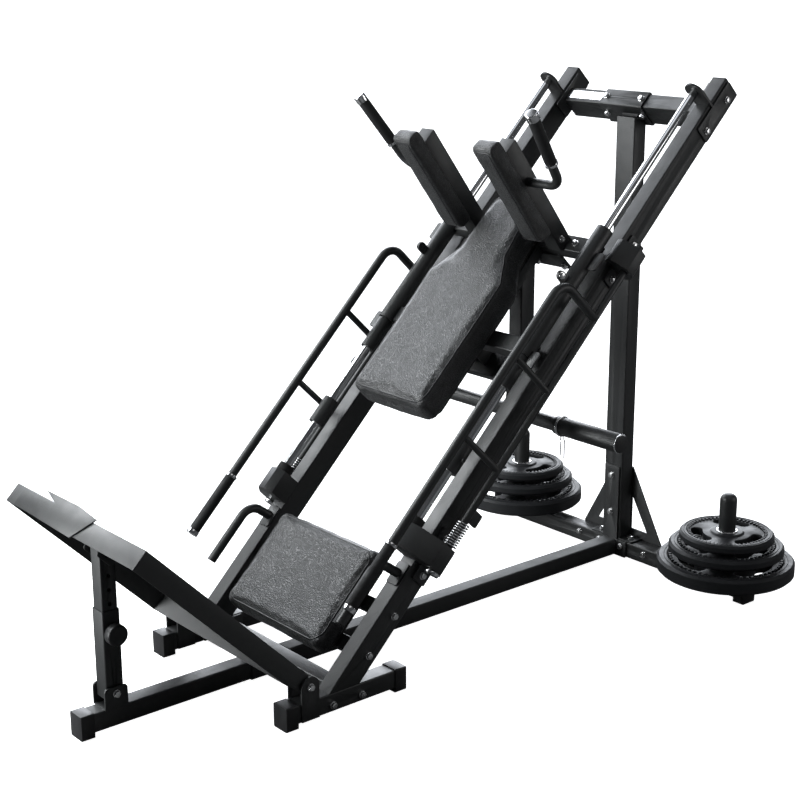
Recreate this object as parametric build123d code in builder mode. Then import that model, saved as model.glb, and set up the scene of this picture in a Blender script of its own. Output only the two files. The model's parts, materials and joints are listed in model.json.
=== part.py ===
from build123d import *
from math import cos, radians, sin
import os

# Plate-loaded leg press and hack squat machine, in millimetres. +X runs from the footplate to
# the rear post, -Y is the user's left side, +Z is up, and Z = 0 is the floor.
# "u" is measured up the inclined rails from their top end and "n" out of their front face.

os.makedirs("parts", exist_ok=True)

# Driving dimensions
TUBE = 50.0                 # square frame tube
WALL = 3.0
CORNER = 4.0                # outside corner radius of the tube
TUBE_Z = 37.0               # height of the floor tubes' centre lines
TUBE_TOP = TUBE_Z + TUBE / 2
TUBE_BOTTOM = TUBE_Z - TUBE / 2
PLATE = 6.0                 # bracket plate
FIT = 0.05                  # radial running clearance of a bushed joint
GAP = 0.3                   # clearance between sliding or plugged pieces

RAIL_ANGLE = 45.29          # slope of the rails above the floor
RAIL_HEAD_X = 896.2         # top front edge of the rails
RAIL_HEAD_Z = 1491.4
RAIL_Y = 283.0              # rail centre from the middle of the machine
RAIL_WIDTH = 50.0
RAIL_DEPTH = 70.0
RAIL_INNER = RAIL_Y - RAIL_WIDTH / 2
RAIL_OUTER = RAIL_Y + RAIL_WIDTH / 2
RAIL_RUN = 2120.0           # longer than the rail, which is trimmed at the foot

ROD_RADIUS = 12.5           # guide rods in front of the rails
ROD_N = 50.0
ROD_TOP_U = -95.0
ROD_SEAT_U = -1541.0        # where a rod enters its lower block
ROD_SOCKET = 34.0

LOCK_Y = 350.0              # pivot and bar plane of the safety lock frames
LOCK_N = -31.0
LOCK_ROD_RADIUS = 10.0
LOCK_BAR_N = 140.0
LOCK_BAR_RADIUS = 12.5
LOCK_RUNGS_U = (-1050.0, -1300.0)

FOOT_Y = 282.0
FOOT_X = (-650.0, -270.0)
FRONT_X = -1054.0
CROSS_X = -460.0            # front cross tube centre
POST_X = 856.0              # rear post and rear cross tube centre
REAR_HALF_WIDTH = 523.0
POST_WIDTH = 72.0
POST_TOP = 1368.0
TOP_U = -85.0               # top cross tube, square to the rails
TOP_N = -55.5
TOP_WIDTH = 50.0
TOP_DEPTH = 75.0
TOP_SLEEVE = 5.0            # wall of the sleeve around it
TOP_SLEEVE_Y = 23.0
TOP_SLEEVE_HALF = 83.0

HINGE_X = -578.0            # footplate hinge
HINGE_Z = 103.0
TRAY_LENGTH = 635.0
TRAY_HALF_WIDTH = 304.0
TRAY_TOP = 20.0             # tread face above the hinge line, square to the tread
TRAY_BOTTOM = -32.0
SHEET = 4.0

STRUT_X = -956.0            # telescoping footplate post
STRUT_DEPTH = 50.0
STRUT_FOOT_Z = 100.0
STRUT_HEAD_Z = 464.0
STRUT_PITCH = 36.0
STRUT_HOLES_Z = tuple(260.0 + STRUT_PITCH * step for step in range(5))

BAR_X = 252.7               # loading bar
BAR_Z = 613.9
BAR_RADIUS = 19.5
SLEEVE_RADIUS = 25.0
SLEEVE_Y = (320.0, 545.0)

STORE_Y = 431.0             # plate storage posts
STORE_TOP = 314.0
STACK_Z = 65.5
PLATES = (("large", 200.0, 62.0, 9.0), ("medium", 167.5, 42.0, 6.5),
          ("small", 137.5, 30.0, 1.5))      # name, radius, hub height, step down to the rim
STACK_GAP = 0.5
BORE = 25.4

SHANK = 5.0                 # bolts
SHANK_HOLE = 5.5
SHANK_REACH = 10.0
WASHER = 10.0
WASHER_HEIGHT = 2.0
HEAD = 8.5
HEAD_HEIGHT = 6.5

SIDES = (-1, 1)
U = Vector(cos(radians(RAIL_ANGLE)), 0, sin(radians(RAIL_ANGLE)))
N = Vector(-sin(radians(RAIL_ANGLE)), 0, cos(radians(RAIL_ANGLE)))
RAIL = Plane(origin=(RAIL_HEAD_X, 0, RAIL_HEAD_Z), x_dir=U, z_dir=N)
TREAD_UP = Vector(-1, 0, 1).normalized()


def on_rail(u, y, n):
    """A point from its place along, across and out of the rails."""
    return RAIL.from_local_coords(Vector(u, y, n))


def rail_section(u):
    """A plane square to the rails whose sketch axes are y and n, facing up the rails."""
    return Plane(origin=on_rail(u, 0, 0), x_dir=(0, 1, 0), z_dir=U)


def rail_side(y=0.0):
    """A plane along the rails whose sketch axes are u and n, facing -Y."""
    return Plane(origin=on_rail(0, y, 0), x_dir=U, z_dir=(0, -1, 0))


def facing_x(x):
    """A plane across the machine whose sketch axes are y and z, facing +X."""
    return Plane(origin=(x, 0, 0), x_dir=(0, 1, 0), z_dir=(1, 0, 0))


def upright(y):
    """A plane along the machine whose sketch axes are x and z, facing -Y."""
    return Plane.XZ.offset(-y)


def tread_side(y=0.0):
    """A plane whose sketch axes run up the tread from the hinge and out of the tread."""
    return Plane(origin=(HINGE_X, y, HINGE_Z), x_dir=TREAD_UP, z_dir=(0, 1, 0))


def tube_profile(width, depth, wall=WALL):
    """Draw a hollow rectangular tube profile."""
    RectangleRounded(width, depth, CORNER)
    RectangleRounded(width - 2 * wall, depth - 2 * wall, CORNER - wall / 2, mode=Mode.SUBTRACT)


def outline(*points):
    """Draw a filled polygon through its corner points."""
    Polygon(*points, align=None)


def ring(outer, inner):
    """Draw a ring."""
    Circle(outer)
    Circle(inner, mode=Mode.SUBTRACT)


def drill(sites, depth=SHANK_REACH + 4, radius=SHANK_HOLE):
    """Cut a bolt hole into the piece at every site, against the site's normal."""
    with Locations(*sites):
        Hole(radius, depth)


def bolts(sites, reach=SHANK_REACH, radius=SHANK):
    """Make a washer, a hex head and a shank at every site."""
    with BuildSketch(*sites) as shank:
        Circle(radius)
    extrude(shank.sketch, amount=-reach)
    with BuildSketch(*sites) as washer:
        Circle(WASHER)
    extrude(washer.sketch, amount=WASHER_HEIGHT)
    with BuildSketch(*[site.offset(WASHER_HEIGHT) for site in sites]) as head:
        RegularPolygon(HEAD, 6)
    extrude(head.sketch, amount=HEAD_HEIGHT)


def side_site(x, y, z):
    """A bolt site on an outer face that looks along -Y or +Y."""
    return Plane(origin=(x, y, z), x_dir=(1, 0, 0), z_dir=(0, 1 if y > 0 else -1, 0))


def rail_site(u, y, n):
    """A bolt site on the outer side of a rail."""
    return Plane(origin=on_rail(u, y, n), x_dir=U, z_dir=(0, 1 if y > 0 else -1, 0))


def front_site(x, y, z):
    """A bolt site on a face that looks along -X."""
    return Plane(origin=(x, y, z), x_dir=(0, 1, 0), z_dir=(-1, 0, 0))


def top_site(x, y, z):
    """A bolt site on a face that looks up."""
    return Plane(origin=(x, y, z))


def both(make, *places):
    """Sites made by one rule on both sides of the machine."""
    return [make(a, side * y, c) for side in SIDES for a, y, c in places]


# Bolt sites on the frame
foot_outer = FOOT_Y + TUBE / 2
plate_face = RAIL_OUTER + PLATE
foot_sites = both(side_site, *[(CROSS_X + dx, foot_outer, 30) for dx in (-46, 46)])
seat_bar_u = (-1756.0, -1874.0)
seat_sites = both(rail_site, *[(u, RAIL_OUTER, -42) for u in seat_bar_u])
lower_sites = both(rail_site, *[(u, plate_face, -43) for u in (-1517, -1630)])
upper_sites = both(rail_site, *[(u, plate_face, -44) for u in (-557, -673)])
head_sites = both(rail_site, *[(u, plate_face, -42) for u in (-40, -153)])
flange_x = POST_X - TUBE / 2 - PLATE
flange_sites = both(front_site, (flange_x, 45, 44))
tie_sites = both(front_site, (POST_X - TUBE / 2, 136, 42))
base_sites = both(top_site, (POST_X, 60, TUBE_TOP + 5))
post_sites = [front_site(flange_x, 0, z) for z in (148, 268)]
sleeve_faces = ((on_rail(TOP_U, TOP_SLEEVE_Y, TOP_N + TOP_DEPTH / 2 + TOP_SLEEVE), N),
                (on_rail(TOP_U - TOP_WIDTH / 2 - TOP_SLEEVE, TOP_SLEEVE_Y, TOP_N + 3), -U))
sleeve_sites = [Plane(origin=middle + Vector(0, side * 68, 0), x_dir=(0, 1, 0), z_dir=out)
                for middle, out in sleeve_faces for side in SIDES]
rod_sites = [Plane(origin=on_rail(ROD_TOP_U + PLATE, side * RAIL_Y, ROD_N), z_dir=U)
             for side in SIDES]

# ---------------------------------------------------------------- floor frame
strut_face = STRUT_DEPTH / 2 + 5
with BuildPart() as front_spine:
    with BuildSketch(facing_x(FRONT_X + WALL)):
        with Locations((0, TUBE_Z)):
            tube_profile(TUBE, TUBE)
    extrude(amount=CROSS_X - TUBE / 2 - 6 - FRONT_X - WALL)
    with BuildSketch(Plane.XY.offset(TUBE_TOP)):
        with Locations((STRUT_X, 0)):
            Rectangle(64, STRUT_DEPTH + 10)
    extrude(amount=4)
    for side in SIDES:
        with BuildSketch(upright(side * (STRUT_DEPTH / 2 + 2.75))):
            with Locations((STRUT_X, (TUBE_TOP + STRUT_FOOT_Z + 18) / 2)):
                RectangleRounded(64, STRUT_FOOT_Z + 18 - TUBE_TOP, 10)
            with Locations((STRUT_X, TUBE_TOP + 8)):
                Rectangle(64, 16)
        extrude(amount=2.25, both=True)
    with Locations(Plane(origin=(STRUT_X, -strut_face, STRUT_FOOT_Z), z_dir=(0, -1, 0))):
        Hole(5.05, 2 * strut_face)
front_spine.part.label = "front_spine"
export_step(front_spine.part, "parts/front_spine.step")

with BuildPart() as front_cross_tube:
    with BuildSketch(Plane.XZ):
        with Locations((CROSS_X, TUBE_Z)):
            tube_profile(TUBE, TUBE)
    extrude(amount=FOOT_Y - TUBE / 2 - PLATE, both=True)
    for side in SIDES:
        with BuildSketch(upright(side * (FOOT_Y - TUBE / 2 - PLATE / 2))):
            with Locations((CROSS_X, TUBE_Z)):
                RectangleRounded(130, 46, 6)
        extrude(amount=PLATE / 2, both=True)
    with BuildSketch(facing_x(CROSS_X - TUBE / 2 - 71)):
        with Locations((0, TUBE_Z)):
            RectangleRounded(TUBE + 2 * WALL + 2 * GAP, TUBE + 2 * WALL + 2 * GAP, CORNER + WALL)
            RectangleRounded(TUBE + 2 * GAP, TUBE + 2 * GAP, CORNER, mode=Mode.SUBTRACT)
    extrude(amount=71)
front_cross_tube.part.label = "front_cross_tube"
export_step(front_cross_tube.part, "parts/front_cross_tube.step")

saddle_x = HINGE_X
saddle_half = 27.0
with BuildPart() as side_feet:
    with BuildSketch(facing_x(FOOT_X[0] + WALL)):
        with Locations(*[(side * FOOT_Y, TUBE_Z) for side in SIDES]):
            tube_profile(TUBE, TUBE)
    extrude(amount=FOOT_X[1] - FOOT_X[0] - 2 * WALL)
    for side in SIDES:
        for edge in (FOOT_Y - TUBE / 2 - 2.5, FOOT_Y + TUBE / 2 + 2.5):
            with BuildSketch(upright(side * edge)):
                with Locations((saddle_x, HINGE_Z)):
                    Circle(saddle_half)
                with Locations((saddle_x, (HINGE_Z + TUBE_BOTTOM + 2) / 2)):
                    Rectangle(2 * saddle_half, HINGE_Z - TUBE_BOTTOM - 2)
            extrude(amount=2.5, both=True)
        with Locations(side_site(saddle_x, side * (foot_outer + 5), HINGE_Z)):
            Hole(6.05, 60)
    drill(foot_sites, TUBE - 8)
    drill([Plane(origin=(site.origin.X, site.origin.Y - 40 * (1 if site.origin.Y > 0 else -1),
                         site.origin.Z), z_dir=site.z_dir) for site in foot_sites])
side_feet.part.label = "side_feet"
export_step(side_feet.part, "parts/side_feet.step")

with BuildPart() as rear_spine:
    with BuildSketch(facing_x(CROSS_X + TUBE / 2)):
        with Locations((0, TUBE_Z)):
            tube_profile(TUBE, TUBE)
    extrude(amount=flange_x - CROSS_X - TUBE / 2)
    with BuildSketch(facing_x(flange_x)):
        with Locations((0, TUBE_Z)):
            RectangleRounded(134, 52, 5)
    extrude(amount=PLATE)
    drill(flange_sites)
rear_spine.part.label = "rear_spine"
export_step(rear_spine.part, "parts/rear_spine.step")

with BuildPart() as rear_cross_tube:
    with BuildSketch(Plane.XZ):
        with Locations((POST_X, TUBE_Z)):
            tube_profile(TUBE, TUBE)
    extrude(amount=REAR_HALF_WIDTH - WALL, both=True)
    drill([site.offset(-PLATE) for site in flange_sites])
    drill(tie_sites)
    drill([site.offset(-5) for site in base_sites])
rear_cross_tube.part.label = "rear_cross_tube"
export_step(rear_cross_tube.part, "parts/rear_cross_tube.step")

cap_length = 36.0
cap_size = 55.0
cap_top = TUBE_TOP + 2.5


def cap_outline(width, depth_low, depth_high):
    """Draw a cap's square end view around a floor tube."""
    with Locations((0, (depth_low + depth_high) / 2)):
        RectangleRounded(width, depth_high - depth_low, CORNER)


with BuildPart() as tube_caps:
    ends = [Plane(origin=(FOOT_X[0], side * FOOT_Y, 0), x_dir=(0, 1, 0), z_dir=(1, 0, 0))
            for side in SIDES]
    ends += [Plane(origin=(FOOT_X[1], side * FOOT_Y, 0), x_dir=(0, -1, 0), z_dir=(-1, 0, 0))
             for side in SIDES]
    ends += [Plane(origin=(FRONT_X, 0, 0), x_dir=(0, 1, 0), z_dir=(1, 0, 0))]
    ends += [Plane(origin=(POST_X, side * REAR_HALF_WIDTH, 0), x_dir=(side, 0, 0),
                   z_dir=(0, -side, 0)) for side in SIDES]
    with BuildSketch(*ends):
        cap_outline(cap_size, 0, cap_top)
    extrude(amount=cap_length)
    with BuildSketch(*[end.offset(WALL) for end in ends]):
        cap_outline(TUBE + 0.2, TUBE_BOTTOM - 0.1, TUBE_TOP + 0.1)
    extrude(amount=cap_length, mode=Mode.SUBTRACT)
    with BuildSketch(rail_section(0.0)):
        with Locations(*[(side * RAIL_Y, -RAIL_DEPTH / 2) for side in SIDES]):
            RectangleRounded(RAIL_WIDTH, RAIL_DEPTH, CORNER)
    extrude(amount=WALL)
tube_caps.part.label = "tube_caps"
export_step(tube_caps.part, "parts/tube_caps.step")

# ---------------------------------------------------------------- rear post
gusset_x = POST_X + TUBE / 2
with BuildPart() as rear_bracket:
    with BuildSketch(Plane.XY.offset(TUBE_TOP)):
        with Locations((POST_X + 2.5, 0)):
            Rectangle(TUBE + 5, 168)
    extrude(amount=5)
    with BuildSketch(facing_x(gusset_x)):
        outline((-36, 290), (36, 290), (160, 66), (160, 26), (-160, 26), (-160, 66))
        for side in SIDES:
            Polygon((side * 37, 200), (side * 103, 90), (side * 37, 90), align=None,
                    mode=Mode.SUBTRACT)
    extrude(amount=5)
    with BuildSketch(facing_x(flange_x)):
        with Locations((0, (TUBE_TOP + 3 + 300) / 2)):
            RectangleRounded(58, 300 - TUBE_TOP - 3, 3)
    extrude(amount=PLATE)
    with BuildSketch(Plane.XY.offset(TUBE_TOP + 2)):
        with Locations((flange_x + PLATE / 2, 0)):
            Rectangle(PLATE, 58)
    extrude(amount=3)
    drill(base_sites)
    drill(post_sites)
rear_bracket.part.label = "rear_bracket"
export_step(rear_bracket.part, "parts/rear_bracket.step")

with BuildPart() as rear_post:
    with BuildSketch(Plane.XY.offset(TUBE_TOP + 5)):
        with Locations((POST_X, 0)):
            tube_profile(TUBE, POST_WIDTH)
    extrude(amount=POST_TOP - TUBE_TOP - 5)
    with BuildSketch(rail_side()):
        with Locations((TOP_U - TOP_SLEEVE - GAP, TOP_N)):
            Rectangle(TOP_WIDTH, TOP_DEPTH + 2 * TOP_SLEEVE + 2 * GAP)
    extrude(amount=POST_WIDTH, both=True, mode=Mode.SUBTRACT)
    drill([site.offset(-PLATE) for site in post_sites])
rear_post.part.label = "rear_post"
export_step(rear_post.part, "parts/rear_post.step")

with BuildPart() as top_cross_tube:
    with BuildSketch(rail_side()):
        with Locations((TOP_U, TOP_N)):
            tube_profile(TOP_WIDTH, TOP_DEPTH)
    extrude(amount=RAIL_INNER - PLATE, both=True)
    for side in SIDES:
        with BuildSketch(rail_side(side * (RAIL_INNER - PLATE / 2))):
            with Locations((-75, -35)):
                RectangleRounded(130, 60, 6)
        extrude(amount=PLATE / 2, both=True)
    drill([site.offset(-TOP_SLEEVE) for site in sleeve_sites])
top_cross_tube.part.label = "top_cross_tube"
export_step(top_cross_tube.part, "parts/top_cross_tube.step")

sleeve_u = TOP_U - TOP_WIDTH / 2 - TOP_SLEEVE
with BuildPart() as top_sleeve:
    with BuildSketch(upright(0)):
        outline((POST_X - 8, POST_TOP), (POST_X + 6, POST_TOP), (POST_X + 6, POST_TOP + 16),
                (POST_X - 8, POST_TOP + 30))
    extrude(amount=30, both=True)
    with BuildSketch(rail_side(TOP_SLEEVE_Y)):
        with Locations((TOP_U, TOP_N)):
            RectangleRounded(TOP_WIDTH + 2 * TOP_SLEEVE, TOP_DEPTH + 2 * TOP_SLEEVE, CORNER + 2)
    extrude(amount=TOP_SLEEVE_HALF, both=True)
    with BuildSketch(rail_side()):
        with Locations((TOP_U, TOP_N)):
            RectangleRounded(TOP_WIDTH + 0.2, TOP_DEPTH + 0.2, CORNER)
    extrude(amount=RAIL_INNER, both=True, mode=Mode.SUBTRACT)
    drill(sleeve_sites)
top_sleeve.part.label = "top_sleeve"
export_step(top_sleeve.part, "parts/top_sleeve.step")

with BuildPart() as storage_posts:
    with BuildSketch(Plane.XY.offset(TUBE_TOP)):
        with Locations(*[(POST_X, side * STORE_Y) for side in SIDES]):
            Circle(25)
    extrude(amount=STORE_TOP - TUBE_TOP)
    fillet(storage_posts.faces().filter_by(Axis.Z).group_by(Axis.Z)[-1].edges(), 20)
storage_posts.part.label = "storage_posts"
export_step(storage_posts.part, "parts/storage_posts.step")

# ---------------------------------------------------------------- rails
with BuildPart() as rail_left:
    with BuildSketch(rail_section(0.0)):
        with Locations((-RAIL_Y, -RAIL_DEPTH / 2)):
            tube_profile(RAIL_WIDTH, RAIL_DEPTH)
    extrude(amount=-RAIL_RUN)
    split(bisect_by=Plane.XY.offset(TUBE_TOP), keep=Keep.TOP)
    holes = seat_sites + [site.offset(-PLATE) for site in lower_sites + upper_sites + head_sites]
    drill([site for site in holes if site.origin.Y < 0])
rail_left.part.label = "rail_left"
export_step(rail_left.part, "parts/rail_left.step")

rail_right = mirror(rail_left.part, about=Plane.XZ)
rail_right.label = "rail_right"
export_step(rail_right, "parts/rail_right.step")

with BuildPart() as guide_rods:
    with BuildSketch(rail_section(ROD_TOP_U)):
        with Locations(*[(side * RAIL_Y, ROD_N) for side in SIDES]):
            Circle(ROD_RADIUS)
    extrude(amount=ROD_SEAT_U - ROD_SOCKET - ROD_TOP_U)
    drill([site.offset(-PLATE) for site in rod_sites], 8)
guide_rods.part.label = "guide_rods"
export_step(guide_rods.part, "parts/guide_rods.step")

with BuildPart() as rod_brackets:
    for side in SIDES:
        with BuildSketch(rail_side(side * (RAIL_OUTER + PLATE / 2))):
            with Locations((-87.5, -38)):
                RectangleRounded(175, 56, 5)
        extrude(amount=PLATE / 2, both=True)
        with BuildSketch(rail_section(ROD_TOP_U)):
            with Locations((side * RAIL_Y, ROD_N)):
                Circle(30)
            with Locations((side * (RAIL_Y + 2.75), ROD_N / 2)):
                Rectangle(56.5, ROD_N)
            with Locations((side * (RAIL_OUTER + PLATE / 2), 0)):
                Rectangle(PLATE, 40)
        extrude(amount=PLATE)
    drill(head_sites)
    drill(rod_sites)
rod_brackets.part.label = "rod_brackets"
export_step(rod_brackets.part, "parts/rod_brackets.step")

block_length = 70.0
lower_block_u = (ROD_SEAT_U - block_length, ROD_SEAT_U)
upper_block_u = (-651.0, -581.0)
with BuildPart() as lower_blocks:
    for side in SIDES:
        with BuildSketch(rail_section(lower_block_u[0])):
            outline(*[(side * y, n) for y, n in (
                (RAIL_INNER, 0), (RAIL_INNER, 62), (RAIL_Y, 75), (325, 60), (370, 10),
                (372, -40), (345, -68), (RAIL_OUTER, -68), (RAIL_OUTER, 0))])
        extrude(amount=block_length)
        with BuildSketch(rail_side(side * (RAIL_OUTER + PLATE / 2))):
            with Locations((-1573.5, -43)):
                RectangleRounded(156, 50, 6)
        extrude(amount=PLATE / 2, both=True)
        with Locations(Plane(origin=on_rail(ROD_SEAT_U, side * RAIL_Y, ROD_N), z_dir=U)):
            Hole(ROD_RADIUS, ROD_SOCKET)
        with Locations(Plane(origin=on_rail(ROD_SEAT_U, side * LOCK_Y, LOCK_N), z_dir=U)):
            Hole(LOCK_ROD_RADIUS + FIT, block_length)
    drill(lower_sites)
lower_blocks.part.label = "lower_blocks"
export_step(lower_blocks.part, "parts/lower_blocks.step")

with BuildPart() as upper_blocks:
    for side in SIDES:
        with BuildSketch(rail_section(upper_block_u[0])):
            outline(*[(side * y, n) for y, n in (
                (RAIL_OUTER, -68), (RAIL_OUTER, 14), (330, 20), (372, -14), (372, -45),
                (350, -68))])
        extrude(amount=block_length)
        with BuildSketch(rail_side(side * (RAIL_OUTER + PLATE / 2))):
            with Locations((-615, -43)):
                RectangleRounded(156, 50, 6)
        extrude(amount=PLATE / 2, both=True)
        with Locations(Plane(origin=on_rail(upper_block_u[1], side * LOCK_Y, LOCK_N), z_dir=U)):
            Hole(LOCK_ROD_RADIUS + FIT, block_length)
    drill(upper_sites)
upper_blocks.part.label = "upper_blocks"
export_step(upper_blocks.part, "parts/upper_blocks.step")

rod_centres = [(side * RAIL_Y, ROD_N) for side in SIDES]
with BuildPart() as bumpers:
    with BuildSketch(rail_section(ROD_SEAT_U)):
        with Locations(*rod_centres):
            ring(22, ROD_RADIUS + 0.1)
    extrude(amount=23)
bumpers.part.label = "bumpers"
export_step(bumpers.part, "parts/bumpers.step")

collar_u = (-1375.0, -1290.0)
with BuildPart() as stop_collars:
    with BuildSketch(rail_section(collar_u[0])):
        with Locations(*rod_centres):
            ring(22.5, ROD_RADIUS + 0.05)
    extrude(amount=collar_u[1] - collar_u[0])
    with BuildSketch(*[Plane(origin=on_rail(-1332, side * (RAIL_Y + 21), ROD_N),
                             z_dir=(0, side, 0)) for side in SIDES]):
        RegularPolygon(6, 6)
    extrude(amount=7)
    fillet(stop_collars.edges().filter_by(GeomType.CIRCLE).filter_by(
        lambda edge: abs(edge.radius - 22.5) < 0.01), 2)
stop_collars.part.label = "stop_collars"
export_step(stop_collars.part, "parts/stop_collars.step")

# ---------------------------------------------------------------- seat
seat_u = (-1931.0, -1630.0)
seat_half = 213.0
with BuildPart() as seat_pad:
    with BuildSketch(RAIL.offset(-15)):
        with Locations(((seat_u[0] + seat_u[1]) / 2, 0)):
            RectangleRounded(seat_u[1] - seat_u[0], 2 * seat_half, 28)
    extrude(amount=50)
    fillet(seat_pad.faces().sort_by(Axis(origin=(0, 0, 0), direction=tuple(N)))[-1].edges(),
           14)
seat_pad.part.label = "seat_pad"
export_step(seat_pad.part, "parts/seat_pad.step")

with BuildPart() as seat_board:
    with BuildSketch(RAIL.offset(-27)):
        with Locations(((seat_u[0] + seat_u[1]) / 2, 0)):
            RectangleRounded(seat_u[1] - seat_u[0] - 24, 2 * seat_half - 24, 30)
    extrude(amount=12)
seat_board.part.label = "seat_board"
export_step(seat_board.part, "parts/seat_board.step")

with BuildPart() as seat_supports:
    with BuildSketch(rail_side()):
        with Locations(*[(u, -42) for u in seat_bar_u]):
            RectangleRounded(40, 30, 3)
            RectangleRounded(35, 25, 2, mode=Mode.SUBTRACT)
    extrude(amount=RAIL_INNER - 5, both=True)
    for side in SIDES:
        with BuildSketch(rail_side(side * (RAIL_INNER - 2.5))):
            with Locations(*[(u, -42) for u in seat_bar_u]):
                RectangleRounded(56, 46, 5)
        extrude(amount=2.5, both=True)
seat_supports.part.label = "seat_supports"
export_step(seat_supports.part, "parts/seat_supports.step")

handle_y = 281.0
with BuildPart() as seat_handles:
    for side in SIDES:
        with BuildLine() as path:
            FilletPolyline(on_rail(-1660, side * handle_y, 3),
                           on_rail(-1672, side * handle_y, 84),
                           on_rail(-1860, side * handle_y, 84), radius=45)
        with BuildSketch(Plane(origin=path.line @ 0, z_dir=path.line % 0)):
            Circle(12.5)
        sweep(path=path.line)
        with BuildSketch(RAIL):
            with Locations((-1660, side * handle_y)):
                RectangleRounded(64, 40, 6)
        extrude(amount=5)
seat_handles.part.label = "seat_handles"
export_step(seat_handles.part, "parts/seat_handles.step")

# ---------------------------------------------------------------- carriage
HOUSING_RADIUS = 24.0
EAR_U = -770.0              # lugs on the housings
EAR_N = 95.0
housing_u = (-1004.0, -582.0)
with BuildPart() as bearing_housings:
    with BuildSketch(rail_section(housing_u[0])):
        with Locations(*rod_centres):
            ring(HOUSING_RADIUS, 20)
    extrude(amount=housing_u[1] - housing_u[0])
    for side in SIDES:
        with BuildSketch(rail_side(side * RAIL_Y)):
            with Locations((EAR_U, EAR_N)):
                Circle(13)
            with Locations((EAR_U, (EAR_N + ROD_N + 21) / 2)):
                Rectangle(26, EAR_N - ROD_N - 21)
        extrude(amount=4, both=True)
bearing_housings.part.label = "bearing_housings"
export_step(bearing_housings.part, "parts/bearing_housings.step")

with BuildPart() as linear_bearings:
    for start in (-1000.0, -646.0):
        with BuildSketch(rail_section(start)):
            with Locations(*rod_centres):
                ring(20, ROD_RADIUS + FIT)
        extrude(amount=60)
linear_bearings.part.label = "linear_bearings"
export_step(linear_bearings.part, "parts/linear_bearings.step")

buffer_u = -1107.0
with BuildPart() as buffer_sleeves:
    with BuildSketch(rail_section(buffer_u)):
        with Locations(*rod_centres):
            ring(20, ROD_RADIUS + 0.6)
    extrude(amount=housing_u[0] - buffer_u)
buffer_sleeves.part.label = "buffer_sleeves"
export_step(buffer_sleeves.part, "parts/buffer_sleeves.step")


def clear_housings(radius=HOUSING_RADIUS):
    """Cope a carriage piece where it meets the round bearing housings."""
    with BuildSketch(rail_section(housing_u[0] - 200)) as housings:
        with Locations(*rod_centres):
            Circle(radius)
    extrude(housings.sketch, amount=900, mode=Mode.SUBTRACT)


catch_reach = 334.0
with BuildPart() as catch_plates:
    for side in SIDES:
        with BuildSketch(RAIL.offset(46)):
            for near, far in ((-711, -656), (-1036, -984)):
                with Locations(((near + far) / 2, side * (RAIL_Y + catch_reach) / 2)):
                    RectangleRounded(far - near, catch_reach - RAIL_Y, 6)
        extrude(amount=6)
    clear_housings()
catch_plates.part.label = "catch_plates"
export_step(catch_plates.part, "parts/catch_plates.step")

column_x = 422.0
shelf_z = 756.0
HANGER_Y = 147.0            # plates that hold the loading bar
with BuildPart() as carriage_frame:
    with BuildSketch(rail_side()):
        for u in (-640.0, -975.0):
            with Locations((u, 30)):
                RectangleRounded(50, 40, CORNER)
                RectangleRounded(44, 34, CORNER / 2, mode=Mode.SUBTRACT)
    extrude(amount=RAIL_Y, both=True)
    for side in SIDES:
        with BuildSketch(rail_side(side * 70)):
            with Locations((-807.5, 34)):
                Rectangle(285, 32)
        extrude(amount=20, both=True)
    clear_housings()
    with BuildSketch(Plane.XY.offset(shelf_z - TUBE / 2 - 1)):
        with Locations((column_x, 0)):
            RectangleRounded(TUBE + 2, TUBE + 2, CORNER)
    extrude(amount=300)
    with BuildSketch(facing_x(290)):
        with Locations((0, shelf_z)):
            RectangleRounded(TUBE, TUBE, CORNER)
    extrude(amount=column_x - 290)
    with BuildSketch(rail_side()):
        with Locations((-975, -96.5)):
            RectangleRounded(106, 27, 5)
    extrude(amount=150, both=True)
    for side in SIDES:
        with BuildSketch(upright(side * HANGER_Y)):
            outline((BAR_X - 30, BAR_Z), (BAR_X + 30, BAR_Z), (330, 735), (318, 770), (265, 745),
                    (BAR_X - 22, 700))
            with Locations((BAR_X, BAR_Z)):
                Circle(31)
        extrude(amount=3, both=True)
        with BuildSketch(rail_section(-671)):
            with Locations((side * 84, -9)):
                RectangleRounded(150, 58, 8)
        extrude(amount=8)
        with BuildSketch(rail_side(side * (TUBE / 2 + 3))):
            outline((-1000, -84), (-950, -84), (-950, 14), (-1000, 14))
        extrude(amount=3, both=True)
    with BuildSketch(upright(0)):
        with Locations((BAR_X, BAR_Z)):
            Circle(BAR_RADIUS)
    extrude(amount=HANGER_Y + PLATE, both=True, mode=Mode.SUBTRACT)
carriage_frame.part.label = "carriage_frame"
export_step(carriage_frame.part, "parts/carriage_frame.step")

with BuildPart() as loading_bar:
    with BuildSketch(upright(0)):
        with Locations((BAR_X, BAR_Z)):
            Circle(BAR_RADIUS)
    extrude(amount=SLEEVE_Y[0], both=True)
    for side in SIDES:
        with BuildSketch(Plane(origin=(BAR_X, side * SLEEVE_Y[0], BAR_Z), z_dir=(0, side, 0))):
            Circle(SLEEVE_RADIUS)
        extrude(amount=SLEEVE_Y[1] - SLEEVE_Y[0])
loading_bar.part.label = "loading_bar"
export_step(loading_bar.part, "parts/loading_bar.step")

with BuildPart() as bar_end_caps:
    for side in SIDES:
        with BuildSketch(Plane(origin=(BAR_X, side * SLEEVE_Y[1], BAR_Z), z_dir=(0, side, 0))):
            Circle(SLEEVE_RADIUS)
        extrude(amount=6, taper=20)
bar_end_caps.part.label = "bar_end_caps"
export_step(bar_end_caps.part, "parts/bar_end_caps.step")

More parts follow.
